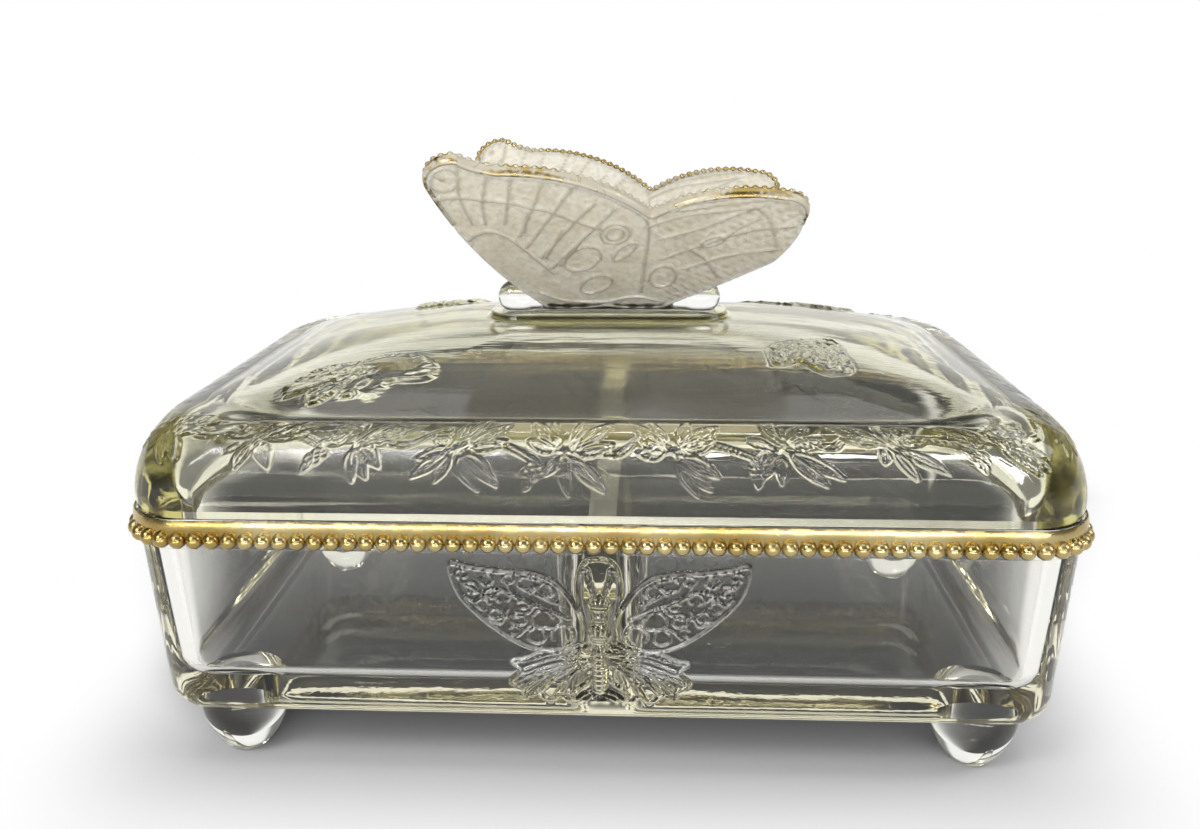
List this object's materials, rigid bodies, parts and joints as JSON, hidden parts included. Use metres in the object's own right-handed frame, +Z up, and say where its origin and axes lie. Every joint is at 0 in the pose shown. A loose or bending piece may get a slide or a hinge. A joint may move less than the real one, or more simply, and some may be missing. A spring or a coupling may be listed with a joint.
{
  "type": "cigarette box",
  "caption": "Footed rectangular glass box with a divided tray, a beaded gilt rim and a lift-off domed lid, topped by a frosted butterfly finial with raised wings.",
  "frame": {"origin": "on the table under the middle of the box", "axes": "+X along the box, to the viewer's right in the picture; +Y to the back; +Z up"},
  "size_m": [0.1782, 0.103, 0.1166],
  "materials": {
    "clear_glass": "clear pressed glass with a faint yellow-green tint in thick parts",
    "frosted_glass": "acid-frosted pressed glass",
    "fired_gold": "fired gold over moulded glass, worn pale in places"
  },
  "bodies": {
    "base": {"base_tray": "clear_glass", "gilt_bead_band": "fired_gold"},
    "lid": {"lid_shell": "clear_glass", "butterfly_finial": "frosted_glass", "gilt_wing_edges": "fired_gold"}
  },
  "joints": [
    {"name": "lid_lift", "type": "slide", "parent": "base", "child": "lid", "axis": [0, 0, 1], "range_m": [0, 0.08]}
  ]
}
